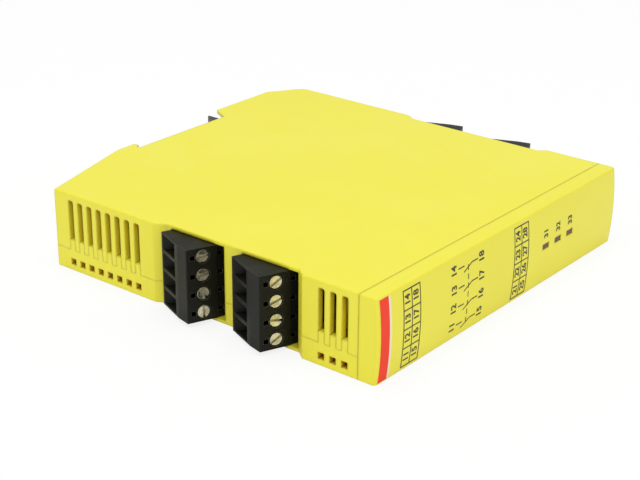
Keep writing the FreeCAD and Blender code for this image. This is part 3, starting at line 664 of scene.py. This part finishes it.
class ClampScrew:
    """A slotted screw of a terminal, turned from its own profile."""

    def __init__(self, tag: str, slot_angle: float, sizes: ScrewSizes = ScrewSizes()) -> None:
        """Start a screw with no points.

        Args:
            tag: Its plug and pole, as in top_rear_1.
            slot_angle: Turn of its slot about its axis, in degrees.
            sizes: Its sizes.
        """
        self.tag = tag
        self.slot_angle = math.radians(slot_angle)
        self.sizes = sizes
        self.points: list[Vector] = []
        self.faces: list[tuple[int, ...]] = []

    def ring(self, radius: float, height: float) -> list[int]:
        """Add a full ring of points.

        Args:
            radius: Its radius.
            height: Its place along the axis.

        Returns:
            The indices of its points.
        """
        count = self.sizes.segments
        start = len(self.points)
        for k in range(count):
            turn = 2 * math.pi * k / count
            self.points.append(Vector((radius * math.cos(turn), radius * math.sin(turn),
                                       height)))
        return list(range(start, start + count))

    def band(self, low: list[int], high: list[int], closed: bool = True) -> None:
        """Join two rows of points by faces.

        Args:
            low: The lower row.
            high: The upper row.
            closed: Whether the rows are full rings.
        """
        count = len(low)
        for k in range(count if closed else count - 1):
            after = (k + 1) % count
            self.faces.append((low[k], low[after], high[after], high[k]))

    def shank(self) -> None:
        """Add the threaded shank and the disc of the head below its slot."""
        size = self.sizes
        rows = [self.ring(size.core_radius, size.tip)]
        height, wide = size.tip + size.thread_pitch / 2, True
        while height < size.head_base:
            rows.append(self.ring(size.thread_radius if wide else size.core_radius, height))
            height, wide = height + size.thread_pitch / 2, not wide
        rows.append(self.ring(size.core_radius, size.head_base))
        rows.append(self.ring(size.head_radius, size.head_base))
        rows.append(self.ring(size.head_radius, size.head_top - size.slot_depth))
        self.faces.append(tuple(reversed(rows[0])))
        for low, high in zip(rows, rows[1:]):
            self.band(low, high)
        self.faces.append(tuple(rows[-1]))

    def lobe(self, side: int) -> None:
        """Add one half of the slotted head.

        Args:
            side: 1 or -1, the side of the slot.
        """
        size = self.sizes
        count = size.segments // 2
        levels = ((size.head_radius, size.head_top - size.slot_depth),
                  (size.head_radius, size.head_top - size.bevel),
                  (size.head_radius - size.bevel, size.head_top),
                  (size.head_radius * size.dish_share, size.head_top - size.dish))
        rows = []
        for radius, height in levels:
            start = math.asin(size.slot_width / 2 / radius)
            row = []
            for k in range(count + 1):
                turn = start + (math.pi - 2 * start) * k / count
                spot = Vector((radius * math.cos(turn), side * radius * math.sin(turn), height))
                row.append(len(self.points))
                self.points.append(spot)
            rows.append(row if side > 0 else row[::-1])
        for low, high in zip(rows, rows[1:]):
            self.band(low, high, closed=False)
        self.faces.append(tuple(rows[-1]))
        wall = [row[0] for row in rows] + [row[-1] for row in reversed(rows)]
        self.faces.append(tuple(reversed(wall)))

    def build(self, finisher: Finisher) -> bpy.types.Object:
        """Turn the screw, seat it on its joint's axis and let it ride there.

        Args:
            finisher: Holds the finishes.

        Returns:
            The screw.
        """
        self.shank()
        for side in (-1, 1):
            self.lobe(side)
        joint = next(j for j in frame["joints"] if j["name"] == "screw_turn_" + self.tag)
        out = Vector(joint["axis"]).normalized()
        along = Vector((0, 0, 1))
        seat = Matrix((along, out.cross(along), out)).transposed().to_4x4()
        piece = plant("slotted_screw_" + self.tag, self.points, self.faces)
        piece.data.shade_flat()
        piece.matrix_world = (Matrix.Translation(joint["pos_m"])
                              @ Matrix.Rotation(self.slot_angle, 4, out) @ seat)
        finisher.put(piece, "screw_nickel")
        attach(piece, "screw_" + self.tag)
        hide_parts("clamp_screw_" + self.tag)
        LOG.info("screw %s: %d faces", self.tag, len(self.faces))
        return piece


@dataclass(frozen=True)
class ScrewRows:
    """The slotted screws of all terminal plugs, as they were left turned."""

    slot_angles: tuple[float, ...] = (5, 33, -81, -87, -59, 82, -71, -57)
    plugs: tuple[str, ...] = ("top_rear", "top_front", "bottom_rear", "bottom_front")
    poles: int = 4

    def build(self, finisher: Finisher) -> None:
        """Build every screw.

        Args:
            finisher: Holds the finishes.
        """
        turn = 0
        for plug in self.plugs:
            for pole in range(1, self.poles + 1):
                angle = self.slot_angles[turn % len(self.slot_angles)]
                ClampScrew(f"{plug}_{pole}", angle).build(finisher)
                turn += 1


# --- latch spring -------------------------------------------------------------
@dataclass(frozen=True)
class LatchSpring:
    """The waved strip behind the rail latch, which on the real module shortens as the latch is drawn; here it
    keeps its rest shape.
    """

    waves: int = 3
    thick: float = 0.4 * MM
    steps: int = 96
    travel: float = 3.0 * MM

    def build(self, finisher: Finisher) -> bpy.types.Object:
        """Bend the strip, seat it in the foot and let it ride on the module.

        Args:
            finisher: Holds the finishes.

        Returns:
            The spring.
        """
        low, high = (Vector(corner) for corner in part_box("latch_spring"))
        middle, reach = (low.x + high.x) / 2, (high.x - low.x - self.thick) / 2
        length = high.y - low.y
        turns = 2 * math.pi * self.waves
        points, faces = [], []
        for k in range(self.steps + 1):
            share = k / self.steps
            spot = Vector((middle - reach * math.cos(turns * share), low.y + length * share))
            along = Vector((reach * turns * math.sin(turns * share), length)).normalized()
            side = Vector((along.y, -along.x)) * self.thick / 2
            points += [(*(spot + side * face), z) for face, z in
                       ((1, low.z), (1, high.z), (-1, high.z), (-1, low.z))]
        for k in range(self.steps):
            for corner in range(4):
                start, after = 4 * k + corner, 4 * k + (corner + 1) % 4
                faces.append((start, after, after + 4, start + 4))
        faces += [(3, 2, 1, 0), tuple(4 * self.steps + corner for corner in range(4))]
        piece = plant("waved_latch_spring", points, faces)
        finisher.put(piece, "spring_steel")
        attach(piece, "module")
        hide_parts("latch_spring")
        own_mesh(piece)
        LOG.info("spring: %d faces", len(faces))
        return piece


# --- the print on the label face ---------------------------------------------
@dataclass(frozen=True)
class Face:
    """The crowned label face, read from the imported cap."""

    crown: float = 0.8 * MM
    lift: float = 0.03 * MM
    strips: float = 1.2 * MM

    @property
    def low(self) -> Vector:
        """Lowest corner of the cap."""
        return Vector(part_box("front_cap")[0])

    @property
    def high(self) -> Vector:
        """Highest corner of the cap."""
        return Vector(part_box("front_cap")[1])

    def point(self, y: float, z: float) -> Vector:
        """Find a point just over the face.

        Args:
            y: Place along the body, in metres.
            z: Place across the width, in metres.

        Returns:
            The point.
        """
        half = (self.high.z - self.low.z) / 2
        bend = (half ** 2 + self.crown ** 2) / (2 * self.crown)
        across = z - self.low.z - half
        sag = bend - math.sqrt(bend ** 2 - across ** 2)
        return Vector((self.high.x - sag + self.lift, y, z))


@dataclass(frozen=True)
class Table:
    """A ruled table of two columns and four rows, with plain numbers."""

    start: float
    columns: int = 2
    width: float = 6.75 * MM
    low: float = 1.05 * MM
    length: float = 20.0 * MM
    rows: int = 4
    line: float = 0.34 * MM
    first_number: int = 11
    height: float = 2.0 * MM


@dataclass(frozen=True)
class Contacts:
    """A row of plain contact symbols, joined by a dashed link."""

    top: float = -25.0 * MM
    bottom: float = -12.8 * MM
    first: float = 3.6 * MM
    pitch: float = 5.08 * MM
    count: int = 4
    line: float = 0.33 * MM
    lead: float = 2.6 * MM
    lead_share: float = 0.9
    swing: float = 1.6 * MM
    clear: float = 0.85
    dash: float = 1.5 * MM
    gap: float = 0.9 * MM
    height: float = 2.1 * MM


class Print:
    """One ink on the label face: strokes, fields and numbers in one thin mesh."""

    DIGIT_SHARE = 0.7
    BOLDER = 0.045

    def __init__(self, name: str, face: Face) -> None:
        """Start with nothing inked.

        Args:
            name: Name of the piece.
            face: The face that it lies on.
        """
        self.name = name
        self.face = face
        self.points: list[Vector] = []
        self.faces: list[tuple[int, ...]] = []

    def field(self, y0: float, y1: float, z0: float, z1: float) -> None:
        """Ink a rectangle.

        Args:
            y0: Its start along the body.
            y1: Its end along the body.
            z0: Its start across the width.
            z1: Its end across the width.
        """
        self.stroke((y0, (z0 + z1) / 2), (y1, (z0 + z1) / 2), z1 - z0)

    def stroke(self, start: tuple[float, float], end: tuple[float, float],
               width: float) -> None:
        """Ink a straight stroke that follows the crown of the face.

        Args:
            start: First end, as (y, z).
            end: Second end, as (y, z).
            width: Width of the stroke.
        """
        along = Vector(end) - Vector(start)
        side = Vector((-along.y, along.x)).normalized() * width / 2
        steps = max(1, math.ceil(abs(along.y) / self.face.strips))
        rows = max(1, math.ceil(abs(side.y) * 2 / self.face.strips))
        base = len(self.points)
        for i in range(steps + 1):
            for j in range(rows + 1):
                spot = Vector(start) + along * (i / steps) + side * (2 * j / rows - 1)
                self.points.append(self.face.point(spot.x, spot.y))
        for i in range(steps):
            for j in range(rows):
                corner = base + i * (rows + 1) + j
                self.faces.append((corner, corner + rows + 1, corner + rows + 2, corner + 1))

    def number(self, text: str, y: float, z: float, height: float) -> None:
        """Ink a plain number, read along +Z with its top towards -Y.

        Args:
            text: The digits.
            y: Centre along the body.
            z: Centre across the width.
            height: Height of the digits.
        """
        curve = bpy.data.curves.new("digits", "FONT")
        curve.body = text
        curve.align_x = "CENTER"
        curve.align_y = "CENTER"
        curve.size = height / self.DIGIT_SHARE
        curve.offset = self.BOLDER * height
        holder = bpy.data.objects.new("digits", curve)
        mesh = bpy.data.meshes.new_from_object(holder)
        base = len(self.points)
        self.points += [self.face.point(y - v.co.y, z + v.co.x) for v in mesh.vertices]
        self.faces += [tuple(base + i for i in p.vertices) for p in mesh.polygons]
        for block, store in ((mesh, bpy.data.meshes), (curve, bpy.data.curves)):
            store.remove(block)

    def table(self, plan: Table) -> None:
        """Rule a table and fill it with plain numbers.

        Args:
            plan: Its sizes.
        """
        row = plan.length / plan.rows
        for column in range(plan.columns + 1):
            y = plan.start + plan.width * column / plan.columns
            self.stroke((y, plan.low - plan.line / 2),
                        (y, plan.low + plan.length + plan.line / 2), plan.line)
        for k in range(plan.rows + 1):
            z = plan.low + row * k
            self.stroke((plan.start, z), (plan.start + plan.width, z), plan.line)
        for column in range(plan.columns):
            for k in range(plan.rows):
                self.number(str(plan.first_number + column * plan.rows + k),
                            plan.start + plan.width * (column + 0.5) / plan.columns,
                            plan.low + row * (k + 0.5), plan.height)

    def contacts(self, plan: Contacts, first_number: int) -> None:
        """Draw the contact symbols with a plain number at each end.

        Args:
            plan: Their sizes.
            first_number: Number at the first contact.
        """
        inner_top = plan.top + plan.height * plan.clear
        inner_bottom = plan.bottom - plan.height * plan.clear
        link_y = (inner_top + inner_bottom) / 2
        for k in range(plan.count):
            z = plan.first + plan.pitch * k
            self.number(str(first_number + k), plan.top, z, plan.height)
            self.number(str(first_number + plan.count + k), plan.bottom, z, plan.height)
            hinge = inner_bottom - plan.lead
            self.stroke((inner_top, z), (inner_top + plan.lead, z), plan.line)
            self.stroke((inner_bottom, z), (hinge, z), plan.line)
            self.stroke((hinge, z),
                        (inner_top + plan.lead * plan.lead_share, z - plan.swing), plan.line)
        end = plan.first + plan.pitch * (plan.count - 1)
        z = plan.first - plan.swing / 2
        while z < end:
            self.stroke((link_y, z), (link_y, min(z + plan.dash, end)), plan.line)
            z += plan.dash + plan.gap

    def finish(self, finisher: Finisher, ink: str, slot: str) -> bpy.types.Object:
        """Make the mesh, put its ink on and let it ride on the module.

        Args:
            finisher: Holds the finishes.
            ink: Name of the ink's finish.
            slot: The record's material slot that it belongs to; not used.

        Returns:
            The finished piece.
        """
        piece = plant(self.name, self.points, self.faces)
        finisher.put(piece, ink)
        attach(piece, "module")
        LOG.info("print %s: %d faces", self.name, len(self.faces))
        return piece


@dataclass(frozen=True)
class FacePrint:
    """Everything that is printed on the label face."""

    margin: float = 0.45 * MM
    stripe_start: float = -55.1 * MM
    stripe_width: float = 3.45 * MM
    stripe_edge: float = 0.75 * MM
    first_table: Table = Table(start=-46.05 * MM)
    second_table: Table = Table(start=2.6 * MM, first_number=21)
    symbols: Contacts = Contacts()
    window_start: float = 18.25 * MM
    window_pitch: float = 6.2 * MM
    window_numbers: int = 3
    first_window_number: int = 31
    window_number_gap: float = 3.7 * MM
    window_number_height: float = 1.9 * MM

    def build(self, finisher: Finisher) -> None:
        """Print the stripe, the tables, the symbols and the window numbers.

        Args:
            finisher: Holds the finishes.
        """
        face = Face()
        low, high = face.low.z + self.margin, face.high.z - self.margin
        stripe_end = self.stripe_start + self.stripe_width
        stripe = Print("face_stripe", face)
        stripe.field(self.stripe_start, stripe_end, low, high)
        stripe.finish(finisher, "stripe_ink", "yellow_housing")
        rim = Print("face_stripe_edge", face)
        rim.field(stripe_end, stripe_end + self.stripe_edge, low, high)
        rim.finish(finisher, "stripe_edge_ink", "yellow_housing")
        ink = Print("face_print", face)
        ink.table(self.first_table)
        ink.table(self.second_table)
        ink.contacts(self.symbols, self.first_table.first_number)
        middle = (face.low.z + face.high.z) / 2
        for k in range(self.window_numbers):
            ink.number(str(self.first_window_number + k), self.window_start + self.window_pitch * k,
                       middle + self.window_number_gap, self.window_number_height)
        ink.finish(finisher, "dark_ink", "yellow_housing")


# --- studio -----------------------------------------------------------------
@dataclass(frozen=True)
class Lamp:
    """A soft area lamp aimed at the module."""

    name: str
    place: tuple[float, float, float]
    size: float
    power: float
    tint: tuple[float, float, float]


@dataclass(frozen=True)
class Studio:
    """Pale floor, soft lamps and the camera."""

    floor_reach: float = 3.0
    floor_colour: Colour = srgb(250, 250, 250)
    floor_white: float = 0.84
    ambient: float = 0.61
    camera_place: tuple[float, float, float] = (0.29520, -0.30388, 0.16980)
    camera_azimuth: float = -51.399
    camera_elevation: float = 23.362
    camera_roll: float = 0.47
    camera_lens: float = 84.13
    camera_sensor: float = 36.0
    camera_clip: tuple[float, float] = (0.01, 20.0)
    lamps: tuple[Lamp, ...] = (
        Lamp("overhead_lamp", (0.10, -0.10, 0.90), 0.9, 4.2, (0.96, 1.0, 0.97)),
        Lamp("near_lamp", (0.75, -0.75, 0.55), 0.7, 1.1, (1.0, 0.95, 0.88)),
    )

    def floor(self) -> None:
        """Lay a floor that looks white to the camera and keeps the shadow."""
        reach = self.floor_reach
        piece = plant("studio_floor", [(-reach, -reach, 0), (reach, -reach, 0),
                                       (reach, reach, 0), (-reach, reach, 0)], [(0, 1, 2, 3)])
        material = bpy.data.materials.new("studio_floor")
        material.use_nodes = True
        material.node_tree.nodes.clear()
        tree = Tree(material.node_tree)
        matt = tree.add("ShaderNodeBsdfDiffuse", {"Color": self.floor_colour})
        white = tree.add("ShaderNodeEmission", {"Color": (1, 1, 1, 1), "Strength": 1.0})
        seen = tree.add("ShaderNodeLightPath").outputs["Is Camera Ray"]
        share = tree.math("MULTIPLY", seen, self.floor_white)
        mix = tree.add("ShaderNodeMixShader", {0: share, 1: matt.outputs[0],
                                               2: white.outputs[0]})
        sink = tree.add("ShaderNodeOutputMaterial")
        material.node_tree.links.new(mix.outputs[0], sink.inputs[0])
        piece.data.materials.append(material)
        piece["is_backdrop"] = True

    def world(self) -> None:
        """Fill the world with even light, white where the camera sees it."""
        world = bpy.data.worlds.new("studio_world")
        bpy.context.scene.world = world
        world.use_nodes = True
        world.node_tree.nodes.clear()
        tree = Tree(world.node_tree)
        seen = tree.add("ShaderNodeLightPath").outputs["Is Camera Ray"]
        level = tree.spread(seen, 0, 1, self.ambient, 1.0)
        back = tree.add("ShaderNodeBackground", {"Color": (1, 1, 1, 1), "Strength": level})
        sink = tree.add("ShaderNodeOutputWorld")
        world.node_tree.links.new(back.outputs[0], sink.inputs[0])

    def light(self) -> None:
        """Hang the lamps, each aimed at the middle of the module."""
        low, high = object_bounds()
        middle = (Vector(low) + Vector(high)) / 2
        for lamp in self.lamps:
            data = bpy.data.lights.new(lamp.name, "AREA")
            data.shape = "DISK"
            data.size = lamp.size
            data.energy = lamp.power
            data.color = lamp.tint
            holder = bpy.data.objects.new(lamp.name, data)
            holder.location = lamp.place
            aim = middle - Vector(lamp.place)
            holder.rotation_euler = aim.to_track_quat("-Z", "Y").to_euler()
            bpy.context.scene.collection.objects.link(holder)
            LOG.info("lamp %s", lamp.name)

    def camera(self) -> None:
        """Set up the camera."""
        data = bpy.data.cameras.new("studio_camera")
        data.lens = self.camera_lens
        data.sensor_width = self.camera_sensor
        data.clip_start, data.clip_end = self.camera_clip
        holder = bpy.data.objects.new("studio_camera", data)
        azimuth = math.radians(self.camera_azimuth)
        elevation = math.radians(self.camera_elevation)
        towards = -Vector((math.cos(elevation) * math.cos(azimuth),
                           math.cos(elevation) * math.sin(azimuth), math.sin(elevation)))
        turn = towards.to_track_quat("-Z", "Y").to_matrix().to_4x4()
        roll = Matrix.Rotation(math.radians(self.camera_roll), 4, "Z")
        holder.matrix_world = Matrix.Translation(self.camera_place) @ turn @ roll
        bpy.context.scene.collection.objects.link(holder)
        bpy.context.scene.camera = holder

    def build(self) -> None:
        """Set the whole studio up."""
        self.floor()
        self.world()
        self.light()
        self.camera()
        bpy.context.scene.view_settings.view_transform = "Standard"


def main() -> None:
    """Dress the module and set the studio up."""
    logging.basicConfig(level=logging.INFO, format="%(name)s: %(message)s")
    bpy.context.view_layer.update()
    finisher = Finisher()
    finisher.dress_nodes()
    ScrewRows().build(finisher)
    LatchSpring().build(finisher)
    FacePrint().build(finisher)
    Studio().build()


if __name__ == "__main__":
    main()
